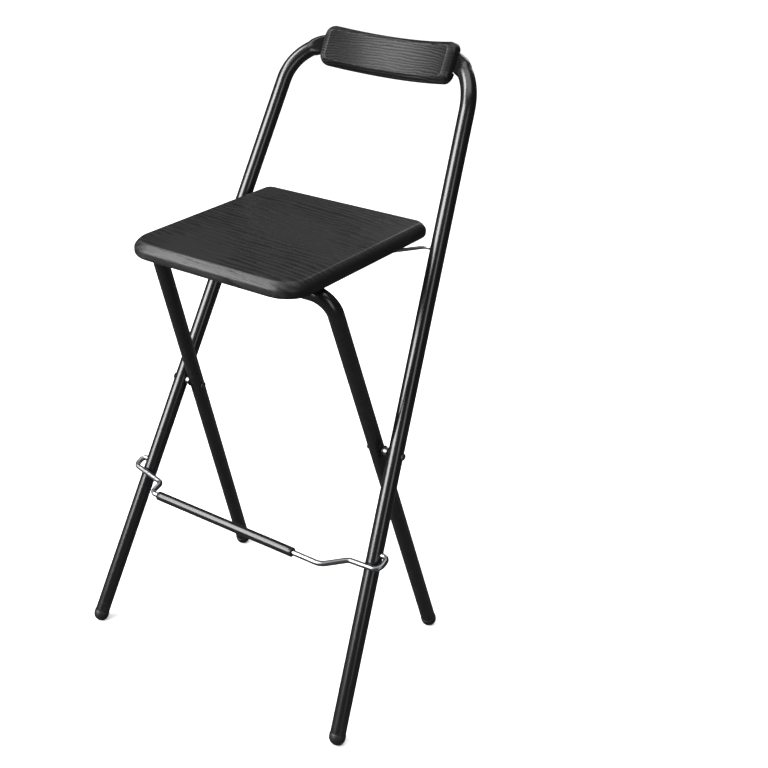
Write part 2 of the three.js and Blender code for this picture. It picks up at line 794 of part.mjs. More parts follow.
for (const [label, side] of sides) {
  const hinge = vec(side * hingeClipX, hingeY, hingeZ);
  const hingeClip = saddleClip(hinge, tubeRadius, hingeClipThick, hingeClipFlange, hingeClipWidth);
  add(`hinge_clip_${label}`, hingeClip, 'dullZinc');
  const link = vec(side * linkClipX, linkSeat.y, linkSeat.z);
  const linkClip = saddleClip(link, linkRadius, linkClipThick, linkClipFlange, linkClipWidth);
  add(`link_clip_${label}`, linkClip, 'dullZinc');
}
for (const [name, spot] of clipScrewSpots()) {
  add(name, screw(spot, vec(0, 0, 1), screwBite), 'zinc');
}
add('link_wire', linkWire(), 'zinc');
add('footrest_wire', footrest(), 'dullZinc');
add('footrest_sleeve', footrestSleeve(), 'rubber');

// Origin: middle of the stool's box, on the floor
const box = new THREE.Box3().setFromObject(group);
const middle = box.getCenter(vec(0, 0, 0));
for (const mesh of group.children) {
  mesh.geometry.translate(-middle.x, -middle.y, -box.min.z);
}

export default group;
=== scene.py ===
import math

import bmesh
import bpy
from mathutils import Matrix, Vector


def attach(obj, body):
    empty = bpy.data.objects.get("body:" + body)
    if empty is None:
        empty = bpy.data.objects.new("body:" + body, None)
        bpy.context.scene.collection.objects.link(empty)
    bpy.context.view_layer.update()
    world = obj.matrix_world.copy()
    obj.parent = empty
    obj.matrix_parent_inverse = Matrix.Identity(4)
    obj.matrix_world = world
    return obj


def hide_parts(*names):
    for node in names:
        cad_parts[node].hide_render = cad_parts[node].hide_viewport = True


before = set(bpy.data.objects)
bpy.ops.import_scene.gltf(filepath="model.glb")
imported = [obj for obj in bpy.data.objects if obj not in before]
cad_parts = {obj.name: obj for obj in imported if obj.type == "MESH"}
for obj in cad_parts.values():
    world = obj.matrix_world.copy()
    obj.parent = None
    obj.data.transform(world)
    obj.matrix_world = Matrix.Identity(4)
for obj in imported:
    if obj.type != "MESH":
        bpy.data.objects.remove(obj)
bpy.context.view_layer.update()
mm = 0.001
weld = 0.0005  # mm, points closer than this are one

# The CAD part is drawn from its own origin and then moved to the middle of its box
cadShift = Vector((0, -61.80658, 0))

# Shared sizes of the two frames, in mm
stool = {
    "tube": 11.0,
    "footZ": 10.213,
    "backLean": math.radians(24.79),
    "backFoot": (222.6, -156.0),
    "backTaper": 0.08105,
    "seatLean": math.radians(22.04),
    "seatFoot": (183.6, 153.144),
    "seatTaper": 0.06078,
    "pivotUp": 392.9,
    "pivotUpSeat": 384.816,
    "hinge": (-92.304, 616.5),
    "linkSeat": (22.857, 625.0),
}


def leanedPlace(lean, footY):
    place = Matrix.Rotation(-lean, 4, "X")
    place.translation = Vector((0, footY, stool["footZ"])) + cadShift
    return place


backPlace = leanedPlace(stool["backLean"], stool["backFoot"][1])
seatPlace = leanedPlace(-stool["seatLean"], stool["seatFoot"][1])


def backLegX(up):
    return stool["backFoot"][0] - stool["backTaper"] * up


def seatLegX(up):
    return stool["seatFoot"][0] - stool["seatTaper"] * up


# Mesh helpers

def keepPiece(mesh, body, cadNode):  # the piece is called after its mesh
    piece = bpy.data.objects.new(mesh.name, mesh)
    bpy.context.scene.collection.objects.link(piece)
    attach(piece, body)
    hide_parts(cadNode)


def meshFrom(bm, name, material):  # a bmesh in mm becomes a smooth mesh in metres
    bmesh.ops.remove_doubles(bm, verts=bm.verts, dist=weld)
    bmesh.ops.recalc_face_normals(bm, faces=bm.faces)
    bm.transform(Matrix.Scale(mm, 4))
    for face in bm.faces:
        face.smooth = True
    mesh = bpy.data.meshes.new(name)
    bm.to_mesh(mesh)
    bm.free()
    mesh.materials.append(material)
    return mesh


def bridgeRings(bm, rings):  # skin over rings of points, closed at both ends
    made = [[bm.verts.new(point) for point in ring] for ring in rings]
    count = len(made[0])
    for low, high in zip(made, made[1:]):
        for i in range(count):
            j = (i + 1) % count
            bm.faces.new((low[i], low[j], high[j], high[i]))
    bm.faces.new(list(reversed(made[0])))
    bm.faces.new(made[-1])


def cornerArc(before, corner, after, radius, steps):
    toBefore = (before - corner).normalized()
    toAfter = (after - corner).normalized()
    half = toBefore.angle(toAfter) / 2
    inward = (toBefore + toAfter).normalized()
    centre = corner + inward * (radius / math.sin(half))
    start = corner + toBefore * (radius / math.tan(half)) - centre
    axis = toBefore.cross(toAfter).normalized()
    turn = math.pi - 2 * half
    return [centre + Matrix.Rotation(-turn * i / steps, 3, axis) @ start for i in range(steps + 1)]


def bentPath(corners, radii, steps):  # the first and last of the corners are plain ends
    points = [corners[0]]
    for before, corner, after, radius in zip(corners, corners[1:], corners[2:], radii):
        points += cornerArc(before, corner, after, radius, steps)
    return points + [corners[-1]]


def mirrored(points):
    return [Vector((-p.x, p.y, p.z)) for p in reversed(points)]


def tangents(points):
    pairs = zip(points[:1] + points, points[1:] + points[-1:])
    return [(after - before).normalized() for before, after in pairs]


# Node trees

number = "NodeSocketFloat"


def feed(tree, made, inputs):  # a socket is linked to the input, a value is set, a colour comes without alpha
    for key, value in inputs.items():
        socket = made.inputs[key]
        if isinstance(value, bpy.types.NodeSocket):
            tree.links.new(value, socket)
        elif socket.type == "RGBA":
            socket.default_value = (*value, 1)
        else:
            socket.default_value = value


def node(tree, kind, where, inputs=None, **settings):
    made = tree.nodes.new(kind)
    made.location = where
    for key, value in settings.items():
        setattr(made, key, value)
    feed(tree, made, inputs or {})
    return made


def mathNode(tree, operation, where, *values, **settings):
    made = node(tree, "ShaderNodeMath", where, dict(enumerate(values)), operation=operation, **settings)
    return made.outputs[0]


def vectorMath(tree, operation, where, first, second=None):
    inputs = {0: first}
    if second is not None:
        inputs["Scale" if operation == "SCALE" else 1] = second
    made = node(tree, "ShaderNodeVectorMath", where, inputs, operation=operation)
    return made.outputs["Value" if operation in ("LENGTH", "DOT_PRODUCT") else "Vector"]


def remap(tree, where, value, low=0.0, high=1.0, toLow=0.0, toHigh=1.0, curve="LINEAR"):
    made = node(tree, "ShaderNodeMapRange", where, {
        "Value": value, "From Min": low, "From Max": high, "To Min": toLow, "To Max": toHigh},
        interpolation_type=curve)
    return made.outputs["Result"]


def noise(tree, where, spot, scale, detail, roughness):
    made = node(tree, "ShaderNodeTexNoise", where, {
        "Vector": spot, "Scale": scale, "Detail": detail, "Roughness": roughness})
    return made.outputs["Fac"]


def mixColour(tree, where, factor, first, second):
    made = node(tree, "ShaderNodeMix", where, {"Factor": factor, "A": first, "B": second}, data_type="RGBA")
    return made.outputs["Result"]


def shaderGroup(name, inputs, outputs, left=-900):
    tree = bpy.data.node_groups.new(name, "ShaderNodeTree")
    for label, value in inputs.items():
        kind = "NodeSocketVector" if isinstance(value, tuple) else number
        tree.interface.new_socket(label, in_out="INPUT", socket_type=kind).default_value = value
    for label in outputs:
        tree.interface.new_socket(label, in_out="OUTPUT", socket_type=number)
    return tree, node(tree, "NodeGroupInput", (left, 0)).outputs


# Fine ripple and faint wipe marks of a sprayed coat
coatSize = {"rippleDetail": 3.0, "rippleRough": 0.55, "wipe": 22.0, "wipeDetail": 5.0, "wipeRough": 0.65,
            "middle": 0.5}


def coatUnevennessGroup():
    tree, given = shaderGroup("coatUnevenness", {"Scale": 400.0, "Roughness": 0.3, "Spread": 0.06},
                              ("Roughness", "Height"))
    spot = node(tree, "ShaderNodeTexCoord", (-900, 300)).outputs["Object"]
    ripple = noise(tree, (-600, 250), spot, given["Scale"], coatSize["rippleDetail"], coatSize["rippleRough"])
    wipe = noise(tree, (-600, -50), spot, coatSize["wipe"], coatSize["wipeDetail"], coatSize["wipeRough"])
    centred = mathNode(tree, "SUBTRACT", (-350, -50), wipe, coatSize["middle"])
    spread = mathNode(tree, "MULTIPLY", (-150, -50), centred, given["Spread"])
    total = mathNode(tree, "ADD", (50, -50), spread, given["Roughness"], use_clamp=True)
    node(tree, "NodeGroupOutput", (700, 0), {"Roughness": total, "Height": ripple})
    return tree


# Mask of edges that stick out, broken up by noise
edgeSize = {"breakup": 160.0, "detail": 6.0, "rough": 0.7, "spots": (0.42, 0.62)}


def wornEdgeGroup():
    tree, given = shaderGroup("wornEdge", {"Low": 0.51, "High": 0.56, "Amount": 0.5}, ("Mask",))
    shape = node(tree, "ShaderNodeNewGeometry", (-900, 250)).outputs["Pointiness"]
    spot = node(tree, "ShaderNodeTexCoord", (-900, -250)).outputs["Object"]
    breakup = noise(tree, (-650, -250), spot, edgeSize["breakup"], edgeSize["detail"], edgeSize["rough"])
    ridge = remap(tree, (-400, 200), shape, given["Low"], given["High"])
    spotty = remap(tree, (-400, -200), breakup, *edgeSize["spots"])
    both = mathNode(tree, "MULTIPLY", (-100, 0), ridge, spotty)
    amount = mathNode(tree, "MULTIPLY", (150, 0), both, given["Amount"])
    node(tree, "NodeGroupOutput", (700, 0), {"Mask": amount})
    return tree


# Figure of a board whose grain runs along X: growth rings cut at a shallow angle, long
# pores, and a slow change of tone
grainSize = {
    "stretch": (4.5, 16.0, 16.0), "scale": 1.0, "wanderDetail": 4.0, "rough": 0.6, "middle": 0.5,
    "late": (0.25, 0.85), "poreStretch": (38.0, 900.0, 900.0), "poreDetail": 3.0, "poreCut": (0.52, 0.66),
    "earlyPores": 1.15, "poreDepth": 0.9, "tone": 7.0, "toneDetail": 2.0, "patch": (0.36, 0.56),
    "patchLeast": 0.2,
}


def grainGroup():
    size = grainSize
    tree, given = shaderGroup(
        "woodGrain",
        {"Vector": (0.0, 0.0, 0.0), "Rings": 70.0, "Wander": 0.02, "Pores": 1.0, "Heart": 0.05,
         "Steepness": 0.1},
        ("Figure", "Pore", "Height", "Tone"), -1500)
    place = given["Vector"]
    parts = node(tree, "ShaderNodeSeparateXYZ", (-1100, 0), {0: place}).outputs
    stretch = node(tree, "ShaderNodeMapping", (-1100, 400), {"Vector": place, "Scale": size["stretch"]})
    wander = noise(tree, (-900, 400), stretch.outputs[0], size["scale"], size["wanderDetail"],
                   size["rough"])
    centred = mathNode(tree, "SUBTRACT", (-700, 400), wander, size["middle"])
    bend = mathNode(tree, "MULTIPLY", (-520, 400), centred, given["Wander"])
    slope = mathNode(tree, "MULTIPLY", (-900, 60), parts["X"], given["Steepness"])
    sunk = mathNode(tree, "ADD", (-800, 0), slope, parts["Z"])
    depth = mathNode(tree, "ADD", (-700, 60), sunk, given["Heart"])
    across = mathNode(tree, "ADD", (-520, 200), parts["Y"], bend)
    radial = node(tree, "ShaderNodeCombineXYZ", (-340, 150), {"X": across, "Y": depth})
    reach = vectorMath(tree, "LENGTH", (-160, 150), radial.outputs[0])
    count = mathNode(tree, "MULTIPLY", (20, 150), reach, given["Rings"])
    ring = mathNode(tree, "FRACT", (200, 150), count)
    # each ring darkens slowly and ends sharply
    late = remap(tree, (380, 150), ring, *size["late"], curve="SMOOTHSTEP")
    fine = node(tree, "ShaderNodeMapping", (-900, -300), {"Vector": place, "Scale": size["poreStretch"]})
    pores = noise(tree, (-650, -300), fine.outputs[0], size["scale"], size["poreDetail"], size["rough"])
    poreCut = remap(tree, (-400, -300), pores, *size["poreCut"], curve="SMOOTHSTEP")
    # pores crowd in the early part of each ring
    early = mathNode(tree, "SUBTRACT", (380, -60), size["earlyPores"], late)
    pore = mathNode(tree, "MULTIPLY", (560, -200), poreCut, early, use_clamp=True)
    poreAmount = mathNode(tree, "MULTIPLY", (740, -200), pore, given["Pores"], use_clamp=True)
    tone = noise(tree, (-650, -600), place, size["tone"], size["toneDetail"], size["middle"])
    # the figure is strong in some places and fades out in others
    patch = remap(tree, (380, -600), tone, *size["patch"], size["patchLeast"], curve="SMOOTHSTEP")
    figure = mathNode(tree, "MULTIPLY", (740, 150), late, patch)
    sink = mathNode(tree, "MULTIPLY", (740, 0), poreAmount, size["poreDepth"])
    height = mathNode(tree, "SUBTRACT", (920, 60), figure, sink)
    node(tree, "NodeGroupOutput", (1150, 0),
         {"Figure": figure, "Pore": poreAmount, "Height": height, "Tone": tone})
    return tree


def endGrainGroup():  # mask of the ends of a board whose grain runs along X
    tree, given = shaderGroup("endGrain", {"Low": 0.35, "High": 0.9}, ("Mask",))
    shape = node(tree, "ShaderNodeNewGeometry", (-900, 0))
    parts = node(tree, "ShaderNodeSeparateXYZ", (-700, 0), {0: shape.outputs["Normal"]})
    size = mathNode(tree, "ABSOLUTE", (-500, 0), parts.outputs["X"])
    mask = remap(tree, (-250, 0), size, given["Low"], given["High"], curve="SMOOTHSTEP")
    node(tree, "NodeGroupOutput", (700, 0), {"Mask": mask})
    return tree


coatUnevenness = coatUnevennessGroup()
wornEdge = wornEdgeGroup()
woodGrain = grainGroup()
endGrain = endGrainGroup()


def groupNode(tree, group, where, inputs):
    return node(tree, "ShaderNodeGroup", where, inputs, node_tree=group).outputs


def newMaterial(name):
    material = bpy.data.materials.new(name)
    material.use_nodes = True
    return material, material.node_tree, material.node_tree.nodes["Principled BSDF"]


# How deep the relief goes in metres, and how far a board's roughness falls and rises
reliefDeep = {"coat": 0.0002, "wood": 0.0004}
roughFall = 0.06
roughRise = 0.08


# Powder coat, plating or plastic: an uneven coat over one colour, worn a little on its edges
def coatedMetal(name, look):
    material, tree, shader = newMaterial(name)
    coat = groupNode(tree, coatUnevenness, (-700, 0), {
        "Scale": look["rippleScale"], "Roughness": look["roughness"], "Spread": look["spread"]})
    edge = groupNode(tree, wornEdge, (-700, 300), {"Amount": look["wear"]})
    colour = mixColour(tree, (-400, 300), edge["Mask"], look["colour"], look["wornColour"])
    bump = node(tree, "ShaderNodeBump", (-400, -250), {
        "Strength": look["ripple"], "Distance": reliefDeep["coat"], "Height": coat["Height"]})
    feed(tree, shader, {
        "Base Color": colour, "Roughness": coat["Roughness"], "Normal": bump.outputs["Normal"],
        "Metallic": look["metallic"], "Specular IOR Level": look["specular"]})
    return material


def stainedWood(name, look):
    material, tree, shader = newMaterial(name)
    coords = node(tree, "ShaderNodeTexCoord", (-1500, 0))
    place = node(tree, "ShaderNodeMapping", (-1300, 0), {
        "Vector": coords.outputs["Object"], "Location": look["offset"], "Rotation": look["turn"]})
    grain = groupNode(tree, woodGrain, (-1100, 0), {
        "Vector": place.outputs["Vector"], "Rings": look["rings"], "Wander": look["wander"],
        "Pores": look["pores"], "Heart": look["heart"], "Steepness": look["steepness"]})
    # Edges that stick out take the rubbed colour: rubbed wear, and on the backrest also a painted highlight
    # along the arris of the face
    edge = groupNode(tree, wornEdge, (-1100, 400), {"Amount": look["wear"]})
    ends = groupNode(tree, endGrain, (-1100, 700), {})
    figure = mixColour(tree, (-800, 200), grain["Figure"], look["early"], look["late"])
    pored = mixColour(tree, (-600, 200), grain["Pore"], figure, look["pore"])
    rubbedAndHighlight = mixColour(tree, (-400, 200), edge["Mask"], pored, look["rubbedAndHighlight"])
    ended = mixColour(tree, (-200, 200), ends["Mask"], rubbedAndHighlight, look["end"])
    rough = remap(tree, (-600, -100), grain["Tone"], toLow=look["roughness"] - roughFall,
                  toHigh=look["roughness"] + roughRise)
    level = mathNode(tree, "SUBTRACT", (-800, -300), 1.0, ends["Mask"])
    relief = mathNode(tree, "MULTIPLY", (-600, -300), grain["Height"], level)
    bump = node(tree, "ShaderNodeBump", (-400, -300), {
        "Strength": look["relief"], "Distance": reliefDeep["wood"], "Height": relief})
    feed(tree, shader, {"Base Color": ended, "Roughness": rough, "Normal": bump.outputs["Normal"],
                        "Specular IOR Level": look["specular"]})
    return material


enamel = coatedMetal("blackPowderCoat", {
    "colour": (0.004, 0.004, 0.0044), "wornColour": (0.03, 0.03, 0.032), "roughness": 0.25, "spread": 0.05,
    "rippleScale": 150.0, "ripple": 0.02, "wear": 0.3, "metallic": 0.0, "specular": 0.75})
zinc = coatedMetal("brightZinc", {
    "colour": (0.62, 0.63, 0.65), "wornColour": (0.35, 0.34, 0.33), "roughness": 0.28, "spread": 0.2,
    "rippleScale": 900.0, "ripple": 0.1, "wear": 0.4, "metallic": 1.0, "specular": 0.5})
dullZinc = coatedMetal("dullZinc", {
    "colour": (0.28, 0.285, 0.30), "wornColour": (0.5, 0.5, 0.5), "roughness": 0.3, "spread": 0.2,
    "rippleScale": 800.0, "ripple": 0.12, "wear": 0.3, "metallic": 1.0, "specular": 0.5})
blackZinc = coatedMetal("blackZinc", {
    "colour": (0.012, 0.012, 0.013), "wornColour": (0.1, 0.1, 0.1), "roughness": 0.24, "spread": 0.12,
    "rippleScale": 900.0, "ripple": 0.1, "wear": 0.4, "metallic": 0.0, "specular": 0.8})
plastic = coatedMetal("blackPlastic", {
    "colour": (0.008, 0.008, 0.0085), "wornColour": (0.035, 0.035, 0.034), "roughness": 0.4, "spread": 0.15,
    "rippleScale": 1500.0, "ripple": 0.15, "wear": 0.6, "metallic": 0.0, "specular": 0.5})
glossPlastic = coatedMetal("glossPlastic", {
    "colour": (0.007, 0.007, 0.0075), "wornColour": (0.03, 0.03, 0.03), "roughness": 0.24, "spread": 0.12,
    "rippleScale": 1200.0, "ripple": 0.12, "wear": 0.4, "metallic": 0.0, "specular": 0.55})
seatWood = stainedWood("seatWood", {
    "early": (0.017, 0.0168, 0.0174), "late": (0.006, 0.0059, 0.0062), "pore": (0.006, 0.006, 0.0063),
    "rubbedAndHighlight": (0.06, 0.059, 0.059), "end": (0.006, 0.006, 0.0063), "rings": 130.0, "wander": 0.05,
    "offset": (0.02, 0.62, -0.55), "turn": (0.0, 0.0, 0.0), "pores": 0.6,
    "heart": 0.25, "steepness": 0.12, "wear": 0.6, "roughness": 0.38, "relief": 0.45, "specular": 0.3})
# The light rubbed colour at full amount is partly rubbed wear and partly a painted highlight along the arris
# of the face
backWood = stainedWood("backrestWood", {
    "early": (0.005, 0.005, 0.0053), "late": (0.036, 0.0355, 0.0365), "pore": (0.004, 0.004, 0.0042),
    "rubbedAndHighlight": (0.16, 0.158, 0.158), "end": (0.005, 0.005, 0.0053), "rings": 260.0, "wander": 0.024,
    "offset": (0.0, 0.45, 0.0), "turn": (math.radians(-90), 0.0, 0.0), "pores": 0.35,
    "heart": 0.03, "steepness": 0.25, "wear": 1.0, "roughness": 0.45, "relief": 0.6, "specular": 0.22})
print("materials made")


# Tubes and wires: one node tree sweeps a round section along a path, and presses it
# flat where the path says so

def sweepTree():
    tree = bpy.data.node_groups.new("sweptTube", "GeometryNodeTree")
    addSocket = tree.interface.new_socket
    addSocket("Geometry", in_out="INPUT", socket_type="NodeSocketGeometry")
    addSocket("Sides", in_out="INPUT", socket_type="NodeSocketInt")
    for label in ("Radius", "Thin", "Tall"):
        addSocket(label, in_out="INPUT", socket_type=number)
    addSocket("Material", in_out="INPUT", socket_type="NodeSocketMaterial")
    addSocket("Geometry", in_out="OUTPUT", socket_type="NodeSocketGeometry")
    given = node(tree, "NodeGroupInput", (-1200, 0)).outputs
    curve = node(tree, "GeometryNodeMeshToCurve", (-1000, 200), {"Mesh": given["Geometry"]})
    spot = node(tree, "GeometryNodeInputPosition", (-1000, -200)).outputs["Position"]
    marked = node(tree, "GeometryNodeStoreNamedAttribute", (-800, 200),
                  {"Geometry": curve.outputs["Curve"], "Name": "centre", "Value": spot},
                  data_type="FLOAT_VECTOR", domain="POINT")
    section = node(tree, "GeometryNodeCurvePrimitiveCircle", (-800, -100), {
        "Resolution": given["Sides"], "Radius": given["Radius"]})
    swept = node(tree, "GeometryNodeCurveToMesh", (-550, 100), {
        "Curve": marked.outputs["Geometry"], "Profile Curve": section.outputs["Curve"], "Fill Caps": True})
    centre, upward, press = [
        node(tree, "GeometryNodeInputNamedAttribute", (-550, height), {"Name": label},
             data_type=kind).outputs["Attribute"]
        for label, kind, height in (("centre", "FLOAT_VECTOR", -200), ("upward", "FLOAT_VECTOR", -350),
                                    ("press", "FLOAT", -500))]
    away = vectorMath(tree, "SUBTRACT", (-300, -150), spot, centre)
    rise = vectorMath(tree, "DOT_PRODUCT", (-100, -250), away, upward)
    risen = vectorMath(tree, "SCALE", (100, -250), upward, rise)
    aside = vectorMath(tree, "SUBTRACT", (300, -150), away, risen)
    thinShare, tallShare = [
        remap(tree, (100, height), press, toLow=1.0, toHigh=given[label])
        for label, height in (("Thin", -450), ("Tall", -600))]
    # pressing takes off what stands further out than the pressed half thickness
    reach = vectorMath(tree, "LENGTH", (300, -500), aside)
    allowed = mathNode(tree, "MULTIPLY", (300, -650), thinShare, given["Radius"])
    share = mathNode(tree, "DIVIDE", (500, -500), allowed, reach)
    kept = mathNode(tree, "MINIMUM", (650, -500), share, 1.0)
    thin = vectorMath(tree, "SCALE", (800, -350), aside, kept)
    tall = vectorMath(tree, "SCALE", (500, -350), risen, tallShare)
    both = vectorMath(tree, "ADD", (700, -200), thin, tall)
    back = vectorMath(tree, "ADD", (880, -200), both, centre)
    pressed = node(tree, "GeometryNodeSetPosition", (900, 100), {
        "Geometry": swept.outputs["Mesh"], "Position": back})
    smooth = node(tree, "GeometryNodeSetShadeSmooth", (1050, 100), {0: pressed.outputs["Geometry"]})
    real = node(tree, "GeometryNodeRealizeInstances", (1200, 100), {0: smooth.outputs[0]})
    dressed = node(tree, "GeometryNodeSetMaterial", (1350, 100), {
        "Geometry": real.outputs["Geometry"], "Material": given["Material"]})
    node(tree, "NodeGroupOutput", (1500, 0), {"Geometry": dressed.outputs["Geometry"]})
    return tree


sweptTube = sweepTree()


def treeInput(tree, label):
    return next(item.identifier for item in tree.interface.items_tree
                if item.item_type == "SOCKET" and item.in_out == "INPUT" and item.name == label)


# Mesh of a round bar along points in mm; press gives how far each point is pressed flat
def sweptPiece(name, points, radius, sides, material, place=None, press=None, thin=1.0, tall=1.0):
    path = bpy.data.meshes.new(name + "Path")
    path.from_pydata([p * mm for p in points], [(i, i + 1) for i in range(len(points) - 1)], [])
    pressed = path.attributes.new("press", "FLOAT", "POINT")
    upward = path.attributes.new("upward", "FLOAT_VECTOR", "POINT")
    for i, tangent in enumerate(tangents(points)):
        pressed.data[i].value = press(points[i]) if press else 0.0
        across = tangent.cross(Vector((0, 0, 1)))
        upright = across.cross(tangent).normalized() if across.length > weld else Vector((1, 0, 0))
        upward.data[i].vector = upright
    carrier = bpy.data.objects.new(name + "Path", path)
    bpy.context.scene.collection.objects.link(carrier)
    modifier = carrier.modifiers.new("sweep", "NODES")
    modifier.node_group = sweptTube
    values = {"Radius": radius * mm, "Sides": sides, "Thin": thin, "Tall": tall, "Material": material}
    for label, value in values.items():
        modifier[treeInput(sweptTube, label)] = value
    carrier.update_tag()
    depsgraph = bpy.context.evaluated_depsgraph_get()
    mesh = bpy.data.meshes.new_from_object(carrier.evaluated_get(depsgraph))
    carrier.modifiers.remove(modifier)
    bpy.data.objects.remove(carrier)
    bpy.data.meshes.remove(path)
    for attribute in ("centre", "upward", "press"):
        if attribute in mesh.attributes:
            mesh.attributes.remove(mesh.attributes[attribute])
    if place:
        moved = place.copy()
        moved.translation = moved.translation * mm
        mesh.transform(moved)
    mesh.name = name
    return mesh


# Back frame

backFrame = {
    "cornerUp": 934.0, "bend": 76.0, "bowAngle": math.radians(29), "evenHalf": 60.0, "bowRadius": 242.3,
    "flatReach": 118.0, "flatRunout": 15.0, "thinShare": 14 / 22, "tallShare": 27 / 22, "footUp": 5.3,
    "legSteps": 40, "legShown": 34, "bendSteps": 24, "curlSteps": 8, "bowSteps": 10, "sides": 64,
}


def backFramePath():
    size = backFrame
    corner = Vector((backLegX(size["cornerUp"]), 0, size["cornerUp"]))
    foot = Vector((backLegX(size["footUp"]), 0, size["footUp"]))
    angle = size["bowAngle"]
    bowStart = Vector((-math.cos(angle), math.sin(angle), 0))
    half = (foot - corner).angle(bowStart) / 2
    bendEnd = corner + bowStart * (size["bend"] / math.tan(half))
    right = [foot.lerp(corner, i / size["legSteps"]) for i in range(size["legShown"])]
    right += cornerArc(foot, corner, bendEnd, size["bend"], size["bendSteps"])
    even = math.asin(size["evenHalf"] / size["bowRadius"])
    curl = (bendEnd.x - size["evenHalf"]) / (math.sin(angle) - math.sin(even))
    evenEndY = bendEnd.y + curl * (math.cos(even) - math.cos(angle))
    for i in range(1, size["curlSteps"] + 1):
        turn = angle + (even - angle) * i / size["curlSteps"]
        x = size["evenHalf"] + curl * (math.sin(turn) - math.sin(even))
        right.append(Vector((x, evenEndY - curl * (math.cos(even) - math.cos(turn)), size["cornerUp"])))
    centreY = evenEndY - size["bowRadius"] * math.cos(even)
    middle = []
    for i in range(1, 2 * size["bowSteps"]):
        turn = even * (1 - i / size["bowSteps"])
        middle.append(Vector((size["bowRadius"] * math.sin(turn),
                              centreY + size["bowRadius"] * math.cos(turn), size["cornerUp"])))
    return right + middle + mirrored(right), centreY


def backPress(point):
    left = backFrame["flatReach"] + backFrame["flatRunout"] - abs(point.x)
    if point.z < backFrame["cornerUp"] - backFrame["flatRunout"] or left <= 0:
        return 0.0
    return min(left / backFrame["flatRunout"], 1.0)


backPath, bowCentreY = backFramePath()
backMesh = sweptPiece("backFrameTube", backPath, stool["tube"], backFrame["sides"], enamel, backPlace,
                      backPress, backFrame["thinShare"], backFrame["tallShare"])
keepPiece(backMesh, "back", "back_frame")

# Seat frame

seatFrame = {"bend": 30.0, "footUp": 5.3, "cornerUp": 654.086, "bendSteps": 20, "sides": 64}
seatCorner = Vector((seatLegX(seatFrame["cornerUp"]), 0, seatFrame["cornerUp"]))
seatFoot = Vector((seatLegX(seatFrame["footUp"]), 0, seatFrame["footUp"]))
seatCorners = [seatFoot, seatCorner] + mirrored([seatFoot, seatCorner])
seatPath = bentPath(seatCorners, [seatFrame["bend"]] * len(seatCorners), seatFrame["bendSteps"])
seatMesh = sweptPiece("seatFrameTube", seatPath, stool["tube"], seatFrame["sides"], enamel, seatPlace)
keepPiece(seatMesh, "rear_legs", "seat_frame")
print("frames made")

# Footrest and link wire

# Corners of the wire from the hole in one back leg to the sleeve: distance from the
# stool's middle, reach out from the holes, and the radius of the bend there
footrest = {
    "up": 256.5, "wire": 4.0, "endX": 203.81, "dip": 0.36614, "bendSteps": 12, "sides": 32,
    "right": [(221.8, 0.0, 7.0), (221.8, 23.4, 11.5), (175.5, 26.4, 14.0), (144.3, 50.0, 25.0)],
    "left": [(162.5, 52.9, 7.0), (160.5, 30.8, 6.5), (221.8, 19.0, 8.0), (221.8, 0.0, 7.0)],
}
footHole = backPlace @ Vector((0, 0, footrest["up"]))
footDown = Vector((0, -math.cos(footrest["dip"]), -math.sin(footrest["dip"])))


def onFootrest(x, along):
    return footHole + Vector((x, 0, 0)) + footDown * along


footCorners = [onFootrest(footrest["endX"], 0)]
footCorners += [onFootrest(x, along) for x, along, bend in footrest["right"]]
footCorners += [onFootrest(-x, along) for x, along, bend in footrest["left"]]
footCorners.append(onFootrest(-footrest["endX"], 0))
footBends = [bend for x, along, bend in footrest["right"] + footrest["left"]]
footPath = bentPath(footCorners, footBends, footrest["bendSteps"])
footMesh = sweptPiece("footrestBar", footPath, footrest["wire"], footrest["sides"], dullZinc)
keepPiece(footMesh, "footrest", "footrest_wire")

linkWire = {"up": 674.0, "radius": 2.5, "halfBar": 92.0, "stub": 8.0, "openGap": 1.0, "bend": 7.0,
            "bendSteps": 10, "sides": 28}
linkHole = backPlace @ Vector((0, 0, linkWire["up"]))
linkEndX = backLegX(linkWire["up"]) - stool["tube"] - linkWire["openGap"]
linkBarY = stool["linkSeat"][0] + cadShift.y
linkCorners = [Vector((linkEndX, linkHole.y, linkHole.z)),
               Vector((linkEndX - linkWire["stub"], linkHole.y, linkHole.z)),
               Vector((linkWire["halfBar"], linkBarY, stool["linkSeat"][1]))]
linkCorners += mirrored(linkCorners)
linkPath = bentPath(linkCorners, [linkWire["bend"]] * len(linkCorners), linkWire["bendSteps"])
linkMesh = sweptPiece("linkRod", linkPath, linkWire["radius"], linkWire["sides"], zinc)
keepPiece(linkMesh, "link", "link_wire")
print("wires made")


# Boards: a grid fills the flat of the face and of the back, and loops run round the edge

edgeSteps = {"front": 12, "back": 6}
crowding = 0.6  # share by which the grid's lines draw together towards its ends
sharpFrom = math.radians(40)


def cornerReach(along, size):  # the corner's radius there, and how far along it the spot is
    middle = (size["low"] + size["high"]) / 2
    corner = size["lowCorner"] if along < middle else size["highCorner"]
    return corner, max(abs(along - middle) - ((size["high"] - size["low"]) / 2 - corner), 0)


def outward(along, across, size):
    corner, into = cornerReach(along, size)
    aside = max(abs(across) - (size["half"] - corner), 0)
    middle = (size["low"] + size["high"]) / 2
    return Vector((math.copysign(into, along - middle), math.copysign(aside, across))).normalized()


def halfAcross(along, size):
    corner, into = cornerReach(along, size)
    corner -= size["bevel"]
    return size["half"] - size["bevel"] - corner + math.sqrt(max(corner * corner - into * into, 0))


